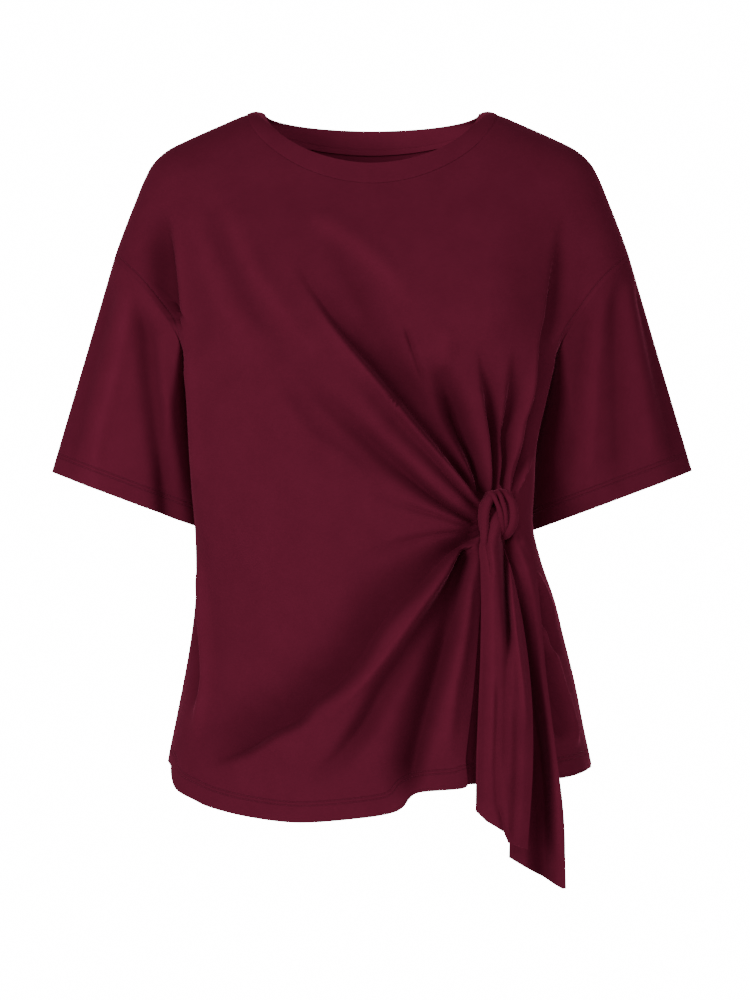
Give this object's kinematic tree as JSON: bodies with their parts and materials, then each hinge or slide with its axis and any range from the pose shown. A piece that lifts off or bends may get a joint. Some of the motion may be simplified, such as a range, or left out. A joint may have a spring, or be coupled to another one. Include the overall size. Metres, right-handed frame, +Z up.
{
  "type": "t-shirt",
  "caption": "Burgundy jersey t-shirt with a round neck, drop-shoulder half sleeves and a slit front hem tied in a side knot, filled out with no wearer",
  "frame": {"origin": "midway between the two points where the neck meets the shoulders, where the wearer holds it up", "axes": "+X to the wearer's left, the side of the knot, +Y from front to back, +Z up"},
  "size_m": [0.595, 0.2401, 0.7122],
  "materials": {
    "front": "matte",
    "back": "matte",
    "sleeve_left": "matte",
    "sleeve_right": "matte",
    "neckband": "matte",
    "tie_front": "matte",
    "tie_back": "matte",
    "knot": "matte"
  },
  "bodies": {
    "root": {"front": "front", "back": "back", "sleeve_left": "sleeve_left", "sleeve_right": "sleeve_right", "neckband": "neckband", "tie_front": "tie_front", "tie_back": "tie_back", "knot": "knot"}
  },
  "joints": []
}
